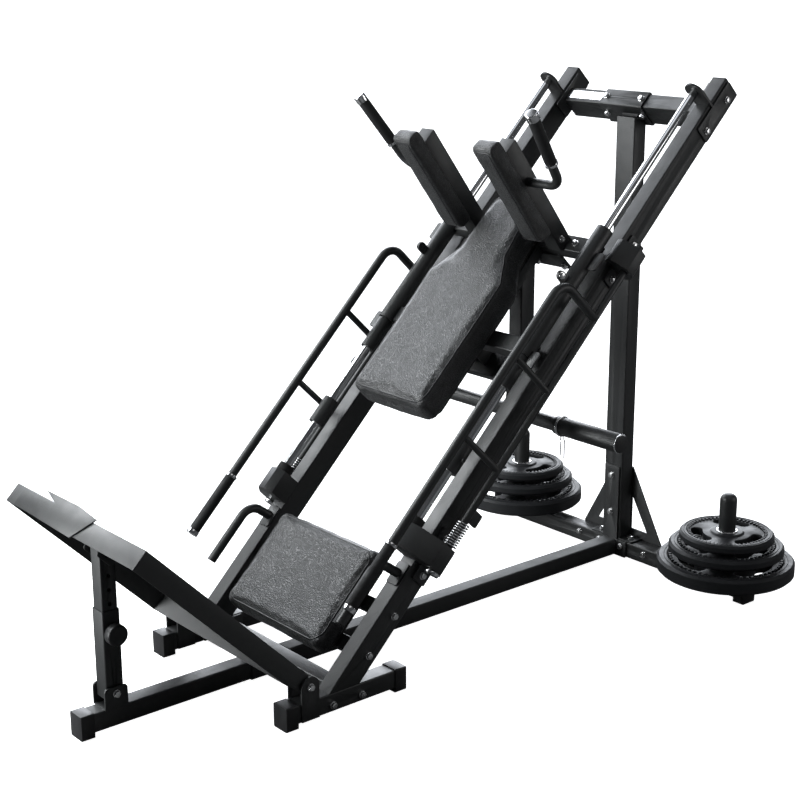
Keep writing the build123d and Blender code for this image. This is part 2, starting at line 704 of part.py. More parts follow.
with BuildPart() as back_board:
    with BuildSketch(RAIL.offset(53)):
        with BuildLine():
            FilletPolyline((-1240, -140), (-855, -140), (-762, -92), (-600, -76), (-600, 76),
                           (-762, 92), (-855, 140), (-1240, 140), close=True, radius=20)
        make_face()
    extrude(amount=12)
back_board.part.label = "back_board"
export_step(back_board.part, "parts/back_board.step")

with BuildPart() as back_pad:
    with BuildSketch(RAIL.offset(65)):
        with BuildLine():
            FilletPolyline((-1265, -153), (-850, -157), (-762, -104), (-573, -84), (-573, 84),
                           (-762, 104), (-850, 157), (-1265, 153), close=True, radius=26)
        make_face()
    extrude(amount=70)
    fillet(back_pad.faces().sort_by(Axis(origin=(0, 0, 0), direction=tuple(N)))[-1].edges(),
           16)
back_pad.part.label = "back_pad"
export_step(back_pad.part, "parts/back_pad.step")

# Shoulder arms lean up the rails as they rise.
ARM_Y = 161.0
ARM_LEAN = 43.0 / 298.0
arm_top_n = 402.0


def arm_line(u_at_104, n):
    """The place along the rails of a leaning arm edge, from its place at n = 104."""
    return u_at_104 + ARM_LEAN * (n - 104)


with BuildPart() as shoulder_arms:
    for side in SIDES:
        for half, inset, mode in ((25.0, 0.0, Mode.ADD), (22.0, WALL, Mode.SUBTRACT)):
            with BuildSketch(rail_side(side * ARM_Y)):
                low = 50.0
                high = arm_top_n - inset
                outline((arm_line(-665 + inset, low), low), (arm_line(-618 - inset, low), low),
                        (arm_line(-618 - inset, high), high), (arm_line(-665 + inset, high), high))
            extrude(amount=half, both=True, mode=mode)
shoulder_arms.part.label = "shoulder_arms"
export_step(shoulder_arms.part, "parts/shoulder_arms.step")

with BuildPart() as shoulder_pads:
    for side in SIDES:
        with BuildSketch(rail_side(side * ARM_Y)):
            with BuildLine():
                FilletPolyline((arm_line(-667, 121), 121), (arm_line(-667, 455), 455),
                               (arm_line(-715, 462), 462), (arm_line(-715, 128), 128),
                               close=True, radius=14)
            make_face()
        extrude(amount=38, both=True)
shoulder_pads.part.label = "shoulder_pads"
export_step(shoulder_pads.part, "parts/shoulder_pads.step")

handle_start = on_rail(-621, ARM_Y + 25, 285)
handle_bend = on_rail(-621, 304, 285)
handle_end = on_rail(-587, 339, 511)
handle_axis = (handle_end - handle_bend).normalized()
grip_length = 146.0
handle_ring = handle_end - handle_axis * grip_length
with BuildPart() as shoulder_handles:
    with BuildLine() as handle_path:
        FilletPolyline(handle_start, handle_bend, handle_end, radius=45)
    with BuildSketch(Plane(origin=handle_path.line @ 0, z_dir=handle_path.line % 0)):
        Circle(12.5)
    sweep(path=handle_path.line)
    mirror(about=Plane.XZ)
shoulder_handles.part.label = "shoulder_handles"
export_step(shoulder_handles.part, "parts/shoulder_handles.step")

with BuildPart() as shoulder_grips:
    with BuildSketch(Plane(origin=handle_ring, z_dir=handle_axis)):
        ring(16, 12.51)
    extrude(amount=grip_length)
    mirror(about=Plane.XZ)
shoulder_grips.part.label = "shoulder_grips"
export_step(shoulder_grips.part, "parts/shoulder_grips.step")

with BuildPart() as handle_caps:
    with BuildSketch(Plane(origin=handle_end, z_dir=handle_axis)):
        Circle(17.5)
    extrude(amount=22)
    fillet(handle_caps.faces().sort_by(Axis.Z)[-1].edges(), 4)
    with BuildSketch(Plane(origin=handle_ring - handle_axis * 8, z_dir=handle_axis)):
        ring(17.5, 12.55)
    extrude(amount=7.9)
    mirror(about=Plane.XZ)
handle_caps.part.label = "handle_caps"
export_step(handle_caps.part, "parts/handle_caps.step")

carriage_sites = both(rail_site, *[(u, ARM_Y + 25, 77) for u in (-650,)])
carriage_sites += both(side_site, *[(x, TUBE / 2, shelf_z) for x in (350, 380)])
carriage_sites += both(rail_site, (EAR_U, RAIL_Y + 4, EAR_N))
carriage_sites += [Plane(origin=on_rail(-640, side * 215, 50), z_dir=N) for side in SIDES]
carriage_sites += [Plane(origin=on_rail(-671, side * y, -24), z_dir=-U)
                   for side in SIDES for y in (44, 148)]
with BuildPart() as carriage_bolts:
    with BuildSketch(*carriage_sites):
        Circle(WASHER)
    extrude(amount=WASHER_HEIGHT)
    with BuildSketch(*[site.offset(WASHER_HEIGHT) for site in carriage_sites]):
        RegularPolygon(HEAD, 6)
    extrude(amount=HEAD_HEIGHT)
carriage_bolts.part.label = "carriage_bolts"
export_step(carriage_bolts.part, "parts/carriage_bolts.step")


def collar_solid(y, inner):
    """A spring collar: a wide coil band with two wire legs that hang below the bar."""
    with BuildSketch(upright(y)) as band:
        with Locations((BAR_X, BAR_Z)):
            ring(inner + 4, inner)
    extrude(band.sketch, amount=14, both=True)
    with BuildSketch(Plane.XY.offset(BAR_Z - inner - 55)) as legs:
        with Locations((BAR_X, y - 10), (BAR_X, y + 10)):
            Circle(3)
    extrude(legs.sketch, amount=54)


with BuildPart() as spring_collar_left:
    collar_solid(-SLEEVE_Y[0] - 16, SLEEVE_RADIUS + 0.1)
spring_collar_left.part.label = "spring_collar_left"
export_step(spring_collar_left.part, "parts/spring_collar_left.step")

with BuildPart() as spring_collar_right:
    collar_solid(SLEEVE_Y[0] + 16, SLEEVE_RADIUS + 0.1)
spring_collar_right.part.label = "spring_collar_right"
export_step(spring_collar_right.part, "parts/spring_collar_right.step")

# ---------------------------------------------------------------- safety locks
lock_low_u = lower_block_u[0] - 10
lock_high_u = upper_block_u[1] + 16
grip_u = (-1815.0, -1637.0)
with BuildPart() as lock_frame_left:
    with BuildSketch(rail_section(lock_low_u)):
        with Locations((-LOCK_Y, LOCK_N)):
            Circle(LOCK_ROD_RADIUS)
    extrude(amount=lock_high_u - lock_low_u)
    with BuildLine() as lock_path:
        FilletPolyline(on_rail(grip_u[0], -LOCK_Y, LOCK_BAR_N),
                       on_rail(-808, -LOCK_Y, LOCK_BAR_N),
                       on_rail(-808, -LOCK_Y, LOCK_N), radius=48)
    with BuildSketch(Plane(origin=lock_path.line @ 0, z_dir=lock_path.line % 0)):
        Circle(LOCK_BAR_RADIUS)
    sweep(path=lock_path.line)
    with BuildSketch(RAIL.offset(LOCK_N)):
        with Locations(*[(u, -LOCK_Y) for u in LOCK_RUNGS_U]):
            Circle(9)
    extrude(amount=LOCK_BAR_N - LOCK_N)
    with BuildSketch(rail_side(-LOCK_Y)):
        with Locations((-1436, LOCK_N - 24)):
            RectangleRounded(38, 38, 5)
    extrude(amount=3, both=True)
lock_frame_left.part.label = "lock_frame_left"
export_step(lock_frame_left.part, "parts/lock_frame_left.step")

lock_frame_right = mirror(lock_frame_left.part, about=Plane.XZ)
lock_frame_right.label = "lock_frame_right"
export_step(lock_frame_right, "parts/lock_frame_right.step")

with BuildPart() as lock_grip_left:
    with BuildSketch(rail_section(grip_u[0])):
        with Locations((-LOCK_Y, LOCK_BAR_N)):
            ring(15.5, LOCK_BAR_RADIUS)
    extrude(amount=grip_u[1] - grip_u[0])
lock_grip_left.part.label = "lock_grip_left"
export_step(lock_grip_left.part, "parts/lock_grip_left.step")

lock_grip_right = mirror(lock_grip_left.part, about=Plane.XZ)
lock_grip_right.label = "lock_grip_right"
export_step(lock_grip_right, "parts/lock_grip_right.step")

with BuildPart() as lock_trim_left:
    with BuildSketch(rail_section(grip_u[0] - 13)):
        with Locations((-LOCK_Y, LOCK_BAR_N)):
            Circle(17)
    extrude(amount=13)
    with BuildSketch(rail_section(grip_u[1])):
        with Locations((-LOCK_Y, LOCK_BAR_N)):
            ring(17, LOCK_BAR_RADIUS)
    extrude(amount=8)
    with BuildSketch(rail_section(lock_low_u)):
        with Locations((-LOCK_Y, LOCK_N)):
            ring(20, LOCK_ROD_RADIUS)
    extrude(amount=8)
lock_trim_left.part.label = "lock_trim_left"
export_step(lock_trim_left.part, "parts/lock_trim_left.step")

lock_trim_right = mirror(lock_trim_left.part, about=Plane.XZ)
lock_trim_right.label = "lock_trim_right"
export_step(lock_trim_right, "parts/lock_trim_right.step")

spring_radius = 17.0
spring_wire = 1.6
spring_turns = 10
spring_pitch = 7.2
spring_start_u = ROD_SEAT_U + 4
with BuildPart() as lock_spring_left:
    with BuildLine() as coil:
        Helix(pitch=spring_pitch, height=spring_pitch * spring_turns, radius=spring_radius,
              center=tuple(on_rail(spring_start_u, -LOCK_Y, LOCK_N)), direction=tuple(U))
    with BuildSketch(Plane(origin=coil.line @ 0, z_dir=coil.line % 0)):
        Circle(spring_wire)
    sweep(path=coil.line, is_frenet=True)
lock_spring_left.part.label = "lock_spring_left"
export_step(lock_spring_left.part, "parts/lock_spring_left.step")

lock_spring_right = mirror(lock_spring_left.part, about=Plane.XZ)
lock_spring_right.label = "lock_spring_right"
export_step(lock_spring_right, "parts/lock_spring_right.step")

# ---------------------------------------------------------------- footplate
flange_y = TRAY_HALF_WIDTH - SHEET / 2
strut_head = tread_side().to_local_coords(Vector(STRUT_X, 0, STRUT_HEAD_Z))
tab_top = TRAY_TOP - SHEET / 2
tab_bottom = strut_head.Y - 22
with BuildPart() as footplate:
    with BuildSketch(tread_side()):
        with Locations(((TRAY_LENGTH + 28) / 2, TRAY_TOP - SHEET / 2)):
            Rectangle(TRAY_LENGTH - 28, SHEET)
        with Locations((TRAY_LENGTH - SHEET / 2, (TRAY_TOP + TRAY_BOTTOM) / 2)):
            Rectangle(SHEET, TRAY_TOP - TRAY_BOTTOM)
        with Locations((66, (TRAY_TOP + TRAY_BOTTOM) / 2)):
            Rectangle(SHEET, TRAY_TOP - TRAY_BOTTOM)
    extrude(amount=TRAY_HALF_WIDTH, both=True)
    for side in SIDES:
        with BuildSketch(tread_side(side * flange_y)):
            outline((TRAY_LENGTH, TRAY_BOTTOM), (TRAY_LENGTH, TRAY_TOP), (0, TRAY_TOP),
                    (0, -TRAY_TOP), (64, TRAY_BOTTOM))
            Circle(TRAY_TOP)
        extrude(amount=SHEET / 2, both=True)
        with BuildSketch(tread_side(side * (STRUT_DEPTH / 2 + 6))):
            with Locations((strut_head.X, (tab_top + tab_bottom) / 2)):
                RectangleRounded(56, tab_top - tab_bottom, 8)
            with Locations((strut_head.X, strut_head.Y)):
                Circle(12, mode=Mode.SUBTRACT)
        extrude(amount=2, both=True)
        with Locations(side_site(HINGE_X, side * TRAY_HALF_WIDTH, HINGE_Z)):
            Hole(6 + FIT, 2 * SHEET)
footplate.part.label = "footplate"
export_step(footplate.part, "parts/footplate.step")

toe_face = Plane(origin=Vector(HINGE_X, 0, HINGE_Z) + TREAD_UP * TRAY_LENGTH, x_dir=(0, 1, 0),
                 z_dir=TREAD_UP)
toe_base = TRAY_BOTTOM
with BuildPart() as toe_plate:
    with BuildSketch(toe_face):
        outline(*[(y, -(toe_base + m)) for y, m in (
            (259, 1), (259, 50), (110, 50), (174, 69), (9, 70), (-79, 61), (-28, -6))])
    extrude(amount=SHEET)
toe_plate.part.label = "toe_plate"
export_step(toe_plate.part, "parts/toe_plate.step")

outer_x = 48.0
outer_y = STRUT_DEPTH
strut_wall = 2.5
inner_x = outer_x - 2 * strut_wall - 2 * GAP
inner_y = outer_y - 2 * strut_wall - 2 * GAP
with BuildPart() as post_outer:
    with BuildSketch(Plane.XY.offset(85)):
        with Locations((STRUT_X, 0)):
            tube_profile(outer_x, outer_y, strut_wall)
    extrude(amount=231)
    with Locations(Plane(origin=(STRUT_X, -outer_y / 2, STRUT_FOOT_Z), z_dir=(0, -1, 0))):
        Hole(5 + FIT, outer_y)
    with BuildSketch(Plane(origin=(STRUT_X, -outer_y / 2, STRUT_HOLES_Z[0]), z_dir=(0, -1, 0))):
        ring(14, 5.5)
    extrude(amount=10)
    with Locations(Plane(origin=(STRUT_X, -outer_y / 2, STRUT_HOLES_Z[0]), z_dir=(0, -1, 0))):
        Hole(5.5, strut_wall)
post_outer.part.label = "post_outer"
export_step(post_outer.part, "parts/post_outer.step")

with BuildPart() as post_inner:
    with BuildSketch(Plane.XY.offset(170)):
        with Locations((STRUT_X, 0)):
            tube_profile(inner_x, inner_y, 2.0)
    extrude(amount=STRUT_HEAD_Z + 11 - 170)
    with Locations(*[Plane(origin=(STRUT_X, -inner_y / 2, z), z_dir=(0, -1, 0))
                     for z in STRUT_HOLES_Z]):
        Hole(5.5, inner_y)
    with BuildSketch(Plane(origin=(STRUT_X, 0, STRUT_HEAD_Z), z_dir=(0, -1, 0))):
        Circle(6)
    extrude(amount=34, both=True)
post_inner.part.label = "post_inner"
export_step(post_inner.part, "parts/post_inner.step")

knob_face = -outer_y / 2 - 10
with BuildPart() as knob:
    with BuildSketch(Plane(origin=(STRUT_X, knob_face - 0.5, STRUT_HOLES_Z[0]),
                           z_dir=(0, -1, 0))):
        Circle(27)
    extrude(amount=22)
    fillet(knob.faces().sort_by(Axis.Y)[0].edges(), 5)
    with BuildSketch(Plane(origin=(STRUT_X, knob_face - 0.5, STRUT_HOLES_Z[0]),
                           z_dir=(0, 1, 0))):
        Circle(5)
    extrude(amount=12)
knob.part.label = "knob"
export_step(knob.part, "parts/knob.step")

# ---------------------------------------------------------------- weight plates
WINDOW_ARC = 50.0
WINDOW_START = 5.0
WINDOW_WIDTH = 0.25
WINDOW_SHIFT = 5.0


def weight_plate(radius, height, step_down, base_z, y):
    """A rubber plate with a raised rim, a recessed web, a hub and three grip windows."""
    rim = radius * 0.86
    hub = 46.0
    web = height * 0.14
    chamfer_size = 7.0
    with BuildSketch(Plane(origin=(POST_X, y, 0), x_dir=(1, 0, 0), z_dir=(0, -1, 0))) as profile:
        low, high = base_z + step_down, base_z + height - step_down
        outline((BORE, base_z), (hub, base_z), (hub + web, low), (radius - chamfer_size, low),
                (radius, low + chamfer_size), (radius, high - chamfer_size),
                (radius - chamfer_size, high), (rim, high), (rim - web, high - web),
                (hub + web, high - web), (hub, base_z + height), (BORE, base_z + height))
    revolve(profile.sketch, axis=Axis((POST_X, y, 0), (0, 0, 1)))
    middle_radius = (rim + hub) / 2 + WINDOW_SHIFT
    with BuildSketch(Plane.XY.offset(base_z)) as windows:
        with Locations((POST_X, y)):
            for step in range(3):
                SlotArc(CenterArc((0, 0), middle_radius, WINDOW_START + 120 * step, WINDOW_ARC),
                        radius * WINDOW_WIDTH)
    extrude(windows.sketch, amount=height, mode=Mode.SUBTRACT)


def stack_level(size):
    """The height at which the plate of this size starts."""
    names = [plate[0] for plate in PLATES]
    below = PLATES[:names.index(size)]
    return STACK_Z + sum(plate[2] + STACK_GAP for plate in below)


def place_plate(size, side):
    """Make one plate of the storage stack on one side."""
    radius, height, step_down = next(plate[1:] for plate in PLATES if plate[0] == size)
    weight_plate(radius, height, step_down, stack_level(size), side * STORE_Y)


with BuildPart() as plate_large_left:
    place_plate("large", -1)
plate_large_left.part.label = "plate_large_left"
export_step(plate_large_left.part, "parts/plate_large_left.step")

with BuildPart() as plate_medium_left:
    place_plate("medium", -1)
plate_medium_left.part.label = "plate_medium_left"
export_step(plate_medium_left.part, "parts/plate_medium_left.step")

with BuildPart() as plate_small_left:
    place_plate("small", -1)
plate_small_left.part.label = "plate_small_left"
export_step(plate_small_left.part, "parts/plate_small_left.step")

with BuildPart() as plate_large_right:
    place_plate("large", 1)
plate_large_right.part.label = "plate_large_right"
export_step(plate_large_right.part, "parts/plate_large_right.step")

with BuildPart() as plate_medium_right:
    place_plate("medium", 1)
plate_medium_right.part.label = "plate_medium_right"
export_step(plate_medium_right.part, "parts/plate_medium_right.step")

with BuildPart() as plate_small_right:
    place_plate("small", 1)
plate_small_right.part.label = "plate_small_right"
export_step(plate_small_right.part, "parts/plate_small_right.step")

# ---------------------------------------------------------------- frame fasteners
with BuildPart() as frame_bolts:
    bolts(foot_sites + seat_sites + lower_sites + upper_sites + head_sites + rod_sites)
    bolts(flange_sites + tie_sites + base_sites + post_sites + sleeve_sites)
    bolts([side_site(HINGE_X, side * (foot_outer + 5), HINGE_Z) for side in SIDES], 60, 6)
    bolts([side_site(STRUT_X, -strut_face, STRUT_FOOT_Z)], 2 * strut_face)
frame_bolts.part.label = "frame_bolts"
export_step(frame_bolts.part, "parts/frame_bolts.step")
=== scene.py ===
"""Looks of the plate-loaded leg press machine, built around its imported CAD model."""
import json
import math

import bmesh
import bpy
from mathutils import Matrix, Vector
from mathutils import noise as ripple
from mathutils.bvhtree import BVHTree


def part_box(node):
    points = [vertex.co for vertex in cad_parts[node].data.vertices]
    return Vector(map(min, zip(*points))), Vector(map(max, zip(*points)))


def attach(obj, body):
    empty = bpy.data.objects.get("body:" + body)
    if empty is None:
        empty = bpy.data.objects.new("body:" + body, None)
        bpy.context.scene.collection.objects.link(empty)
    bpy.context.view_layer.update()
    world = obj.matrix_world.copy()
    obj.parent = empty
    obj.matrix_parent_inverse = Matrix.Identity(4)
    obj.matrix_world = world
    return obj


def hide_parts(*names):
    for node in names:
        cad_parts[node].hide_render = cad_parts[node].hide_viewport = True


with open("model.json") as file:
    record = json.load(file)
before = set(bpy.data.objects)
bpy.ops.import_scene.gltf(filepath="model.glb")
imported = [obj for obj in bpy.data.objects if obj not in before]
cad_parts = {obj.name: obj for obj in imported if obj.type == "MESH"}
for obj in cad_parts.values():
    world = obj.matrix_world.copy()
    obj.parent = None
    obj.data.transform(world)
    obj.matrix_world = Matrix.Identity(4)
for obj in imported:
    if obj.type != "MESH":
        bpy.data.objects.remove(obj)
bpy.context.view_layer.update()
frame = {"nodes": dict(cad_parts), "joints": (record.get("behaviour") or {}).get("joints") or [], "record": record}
MM = 0.001

# ---------------------------------------------------------------- rail frame
joints = {joint["name"]: joint for joint in frame["joints"]}
LOCK_U, LOCK_Y, LOCK_N = -1100 * MM, -350 * MM, -31 * MM
rail_u = Vector(joints["carriage_slide"]["axis"]).normalized()
rail_n = rail_u.cross(Vector((0, 1, 0)))
rail_head = Vector(joints["lock_left_swing"]["pos_m"]) - rail_u * LOCK_U - rail_n * LOCK_N
rail_head.y -= LOCK_Y


def on_rail(u, y, n):
    """A world point from its place along, across and out of the rails, in millimetres."""
    return rail_head + rail_u * (u * MM) + Vector((0, y * MM, 0)) + rail_n * (n * MM)


# ---------------------------------------------------------------- materials
def new_material(name):
    """An empty node material with a Principled shader, and a helper that adds nodes to it."""
    material = bpy.data.materials.new(name)
    material.use_nodes = True
    tree = material.node_tree
    shader = tree.nodes["Principled BSDF"]

    def add(kind, **values):
        node = tree.nodes.new(kind)
        for key, value in values.items():
            if hasattr(node, key):
                setattr(node, key, value)
            else:
                node.inputs[key.replace("_", " ")].default_value = value
        return node

    return material, tree.links.new, shader, add


def object_space(add, link):
    """Texture coordinates in metres, which follow the piece as it moves."""
    return add("ShaderNodeTexCoord").outputs["Object"]


def noise(add, link, place, scale, detail=3.0, rough=0.5):
    """A noise texture in object space."""
    node = add("ShaderNodeTexNoise", Scale=scale, Detail=detail, Roughness=rough)
    link(place, node.inputs["Vector"])
    return node.outputs["Fac"]


def remap(add, link, value, low, high, start=0.3, end=0.7):
    """Map a texture value onto a new range."""
    node = add("ShaderNodeMapRange")
    link(value, node.inputs["Value"])
    for key, number in (("From Min", start), ("From Max", end), ("To Min", low), ("To Max", high)):
        node.inputs[key].default_value = number
    return node.outputs["Result"]


def blend_color(add, link, factor, first, second):
    """Mix two colours by a texture value."""
    node = add("ShaderNodeMix", data_type="RGBA")
    link(factor, node.inputs["Factor"])
    node.inputs["A"].default_value = (*first, 1)
    node.inputs["B"].default_value = (*second, 1)
    return node.outputs["Result"]


def bump(add, link, height, strength, distance, normal=None):
    """A bump node whose height comes from a texture."""
    node = add("ShaderNodeBump", Strength=strength, Distance=distance)
    link(height, node.inputs["Height"])
    if normal:
        link(normal, node.inputs["Normal"])
    return node.outputs["Normal"]


def powder_coat():
    """Black satin powder coat: a fine pebbled skin, uneven gloss and faintly worn patches."""
    material, link, shader, add = new_material("powder_coat")
    place = object_space(add, link)
    broad = noise(add, link, place, 7.0, 4.0)
    link(blend_color(add, link, broad, (0.0125, 0.0135, 0.0135), (0.021, 0.022, 0.0225)),
         shader.inputs["Base Color"])
    link(remap(add, link, noise(add, link, place, 30.0), 0.40, 0.50), shader.inputs["Roughness"])
    pebble = noise(add, link, place, 900.0, 2.0)
    orange_peel = noise(add, link, place, 240.0, 1.0)
    first = bump(add, link, pebble, 0.35, 0.0004)
    link(bump(add, link, orange_peel, 0.18, 0.0006, first), shader.inputs["Normal"])
    shader.inputs["Specular IOR Level"].default_value = 0.55
    return material


def polished(name, color, roughness, scratch):
    """Bright metal with a smudged gloss and fine scratches."""
    material, link, shader, add = new_material(name)
    place = object_space(add, link)
    link(blend_color(add, link, noise(add, link, place, 18.0), color,
                     tuple(0.94 * channel for channel in color)), shader.inputs["Base Color"])
    link(remap(add, link, noise(add, link, place, 60.0, 5.0), roughness, roughness * 1.9),
         shader.inputs["Roughness"])
    link(bump(add, link, noise(add, link, place, 500.0, 4.0), scratch, 0.0002),
         shader.inputs["Normal"])
    shader.inputs["Metallic"].default_value = 1.0
    return material


def leatherette():
    """Black vinyl with rounded grain cells, small creases and a soft sheen."""
    material, link, shader, add = new_material("leatherette")
    place = object_space(add, link)
    warp = add("ShaderNodeTexNoise", Scale=120.0, Detail=2.0)
    link(place, warp.inputs["Vector"])
    shift = add("ShaderNodeVectorMath", operation="MULTIPLY_ADD")
    link(warp.outputs["Color"], shift.inputs[0])
    shift.inputs[1].default_value = (0.004, 0.004, 0.004)
    link(place, shift.inputs[2])
    cells = add("ShaderNodeTexVoronoi", feature="DISTANCE_TO_EDGE", Scale=185.0)
    link(shift.outputs["Vector"], cells.inputs["Vector"])
    grain = remap(add, link, cells.outputs["Distance"], 0.0, 1.0, 0.0, 0.28)
    fine = noise(add, link, place, 1400.0, 2.0)
    crease = noise(add, link, place, 40.0, 4.0, 0.55)
    link(blend_color(add, link, grain, (0.010, 0.0105, 0.011), (0.024, 0.025, 0.026)),
         shader.inputs["Base Color"])
    link(remap(add, link, noise(add, link, place, 16.0, 4.0), 0.34, 0.44),
         shader.inputs["Roughness"])
    normal = bump(add, link, crease, 0.35, 0.0020)
    normal = bump(add, link, grain, 0.7, 0.0010, normal)
    link(bump(add, link, fine, 0.12, 0.0002, normal), shader.inputs["Normal"])
    shader.inputs["Sheen Weight"].default_value = 0.08
    shader.inputs["Specular IOR Level"].default_value = 0.55
    return material


def moulded(name, color, roughness, grain_scale, depth, specular=0.4):
    """Moulded plastic, rubber or foam with a grain of its own scale."""
    material, link, shader, add = new_material(name)
    place = object_space(add, link)
    darker = tuple(0.65 * channel for channel in color)
    link(blend_color(add, link, noise(add, link, place, 25.0, 4.0), darker, color),
         shader.inputs["Base Color"])
    link(remap(add, link, noise(add, link, place, 45.0, 3.0), roughness * 0.85, roughness * 1.1),
         shader.inputs["Roughness"])
    grain = noise(add, link, place, grain_scale, 3.0)
    link(bump(add, link, grain, 0.5, depth), shader.inputs["Normal"])
    shader.inputs["Specular IOR Level"].default_value = specular
    return material


def painted_wood():
    """Black-stained plywood with a faint stretched grain."""
    material, link, shader, add = new_material("painted_wood")
    place = object_space(add, link)
    stretch = add("ShaderNodeMapping")
    stretch.inputs["Scale"].default_value = (1.0, 14.0, 1.0)
    link(place, stretch.inputs["Vector"])
    grain = noise(add, link, stretch.outputs["Vector"], 26.0, 6.0)
    link(blend_color(add, link, grain, (0.012, 0.011, 0.010), (0.035, 0.030, 0.026)),
         shader.inputs["Base Color"])
    link(bump(add, link, grain, 0.3, 0.0004), shader.inputs["Normal"])
    shader.inputs["Roughness"].default_value = 0.6
    return material


finishes = {
    "frame": powder_coat(),
    "chrome": polished("chrome", (0.86, 0.865, 0.875), 0.07, 0.015),
    "zinc": polished("zinc", (0.80, 0.80, 0.80), 0.16, 0.05),
    "bearing": polished("bearing_steel", (0.55, 0.55, 0.56), 0.26, 0.08),
    "black_plastic": moulded("black_plastic", (0.017, 0.017, 0.018), 0.42, 700.0, 0.0003),
    "rubber": moulded("bumper_rubber", (0.018, 0.018, 0.018), 0.75, 420.0, 0.0004, 0.25),
    "foam": moulded("grip_foam", (0.016, 0.016, 0.017), 0.72, 1100.0, 0.0007, 0.35),
    "leatherette": leatherette(),
    "board": painted_wood(),
    "plate_rubber": moulded("plate_rubber", (0.022, 0.023, 0.025), 0.46, 300.0, 0.0003, 0.18),
}
slot_of = {part["node"]: part["material_slot"] for part in frame["record"]["subparts"]}


def dress(obj, slot):
    """Give a piece the finish of one of the record's material slots."""
    obj.data.materials.clear()
    obj.data.materials.append(finishes[slot])


# ---------------------------------------------------------------- CAD nodes
FINE_EDGE = 0.7 * MM
EDGES = {"frame": 1.1 * MM, "foam": 2.4 * MM, "black_plastic": 1.6 * MM, "rubber": 2.0 * MM,
         "plate_rubber": 1.8 * MM}
NO_BEVEL = ("lock_spring_left", "lock_spring_right", "spring_collar_left", "spring_collar_right")
SMOOTH_ANGLE = math.radians(34)


def soften_edges(obj, width):
    """Join the mesh's split corners, round its hard edges and shade it smooth."""
    weld = obj.modifiers.new("join", "WELD")
    weld.merge_threshold = 0.01 * MM
    if width:
        edge = obj.modifiers.new("edge", "BEVEL")
        edge.width = width
        edge.segments = 2
        edge.limit_method = "ANGLE"
        edge.angle_limit = math.radians(50)
        edge.use_clamp_overlap = True
    parting = obj.modifiers.new("parting", "EDGE_SPLIT")
    parting.split_angle = SMOOTH_ANGLE
    for face in obj.data.polygons:
        face.use_smooth = True


for name, node in frame["nodes"].items():
    dress(node, slot_of[name])
    width = 0 if name in NO_BEVEL else EDGES.get(slot_of[name], FINE_EDGE)
    soften_edges(node, width)


# ---------------------------------------------------------------- mesh helpers
def link_mesh(name, mesh):
    """Put a new mesh in the scene as an object."""
    obj = bpy.data.objects.new(name, mesh)
    bpy.context.scene.collection.objects.link(obj)
    return obj


def bake_modifiers(obj):
    """Apply every modifier of a piece to its mesh."""
    graph = bpy.context.evaluated_depsgraph_get()
    mesh = bpy.data.meshes.new_from_object(obj.evaluated_get(graph))
    obj.modifiers.clear()
    obj.data = mesh


def tube_along(name, points, radius, closed=False, sides=4):
    """A round cord that follows a list of points."""
    curve = bpy.data.curves.new(name, "CURVE")
    curve.dimensions = "3D"
    curve.bevel_depth = radius
    curve.bevel_resolution = sides
    curve.use_fill_caps = True
    spline = curve.splines.new("POLY")
    spline.points.add(len(points) - 1)
    for target, point in zip(spline.points, points):
        target.co = (*point, 1)
    spline.use_cyclic_u = closed
    path = link_mesh(name + "_path", curve)
    graph = bpy.context.evaluated_depsgraph_get()
    mesh = bpy.data.meshes.new_from_object(path.evaluated_get(graph))
    bpy.data.objects.remove(path)
    for face in mesh.polygons:
        face.use_smooth = True
    return link_mesh(name, mesh)


def lathe(name, profile, centre, axis=(0, 0, 1), steps=96):
    """A turned piece: a profile of (radius, height) points spun around an axis."""
    axis = Vector(axis).normalized()
    turn = axis.to_track_quat("Z", "Y").to_matrix().to_4x4()
    mesh = bpy.data.meshes.new(name)
    shape = bmesh.new()
    rings = []
    for step in range(steps):
        angle = 2 * math.pi * step / steps
        rings.append([shape.verts.new((r * math.cos(angle), r * math.sin(angle), h))
                      for r, h in profile])
    for step in range(steps):
        here, there = rings[step], rings[(step + 1) % steps]
        for i in range(len(profile)):
            j = (i + 1) % len(profile)
            shape.faces.new((here[i], there[i], there[j], here[j]))
    bmesh.ops.recalc_face_normals(shape, faces=shape.faces)
    shape.transform(Matrix.Translation(centre) @ turn)
    shape.to_mesh(mesh)
    shape.free()
    for face in mesh.polygons:
        face.use_smooth = True
    return link_mesh(name, mesh)


# ---------------------------------------------------------------- upholstery
CLOTH_FRAMES = 20


def swell(obj, pinned, pressure, reach):
    """Blow a closed pad up with cloth, holding the pinned points and capping how far it moves."""
    start = [vertex.co.copy() for vertex in obj.data.vertices]
    group = obj.vertex_groups.new(name="held")
    group.add([v.index for v in obj.data.vertices if pinned(v.co)], 1.0, "REPLACE")
    cloth = obj.modifiers.new("cloth", "CLOTH")
    cloth.settings.vertex_group_mass = "held"
    cloth.settings.use_pressure = True
    cloth.settings.uniform_pressure_force = pressure
    cloth.settings.effector_weights.gravity = 0.0
    cloth.settings.quality = 6
    cloth.settings.tension_stiffness = 18.0
    cloth.settings.compression_stiffness = 18.0
    cloth.settings.bending_stiffness = 4.0
    cloth.point_cache.frame_start = 1
    cloth.point_cache.frame_end = CLOTH_FRAMES
    for number in range(1, CLOTH_FRAMES + 1):
        bpy.context.scene.frame_set(number)
    bake_modifiers(obj)
    for vertex, before in zip(obj.data.vertices, start):
        move = vertex.co - before
        if move.length > reach:
            vertex.co = before + move.normalized() * reach
    bpy.context.scene.frame_set(1)


PUCKERS = ((24.0, 1.2 * MM), (60.0, 0.3 * MM))


